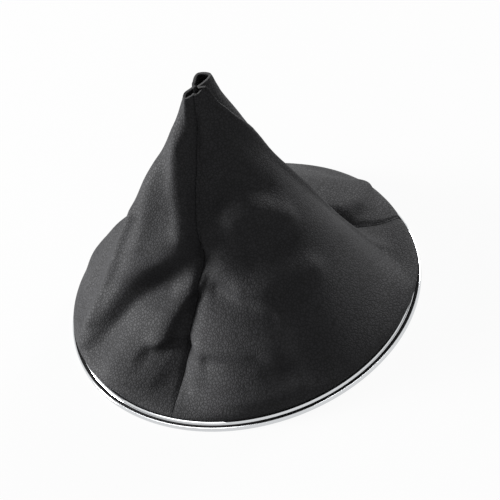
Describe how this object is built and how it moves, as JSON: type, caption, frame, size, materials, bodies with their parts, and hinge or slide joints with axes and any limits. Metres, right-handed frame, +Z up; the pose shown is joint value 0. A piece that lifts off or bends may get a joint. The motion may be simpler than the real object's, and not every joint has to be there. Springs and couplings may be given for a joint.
{
  "type": "gear lever gaiter",
  "caption": "Folded cone of black synthetic leather panels with an open mouth, on a slim round chrome-plated trim ring for a centre console.",
  "frame": {"origin": "centre of the trim ring's underside, the face that stands on the console", "axes": "+Z up through the mouth, -Y to the front, towards the seam that the picture shows in the middle, +X to the right"},
  "size_m": [0.15, 0.15, 0.1151],
  "materials": {
    "leather": "black, fine pebble grain, satin",
    "chrome_plating": "bright chrome plate on plastic",
    "black_plastic": "moulded, matt"
  },
  "bodies": {
    "root": {"leather_panel_front": "leather", "leather_panel_back": "leather", "leather_panel_left": "leather", "trim_ring": "chrome_plating", "clamp_ring": "black_plastic"}
  },
  "joints": []
}
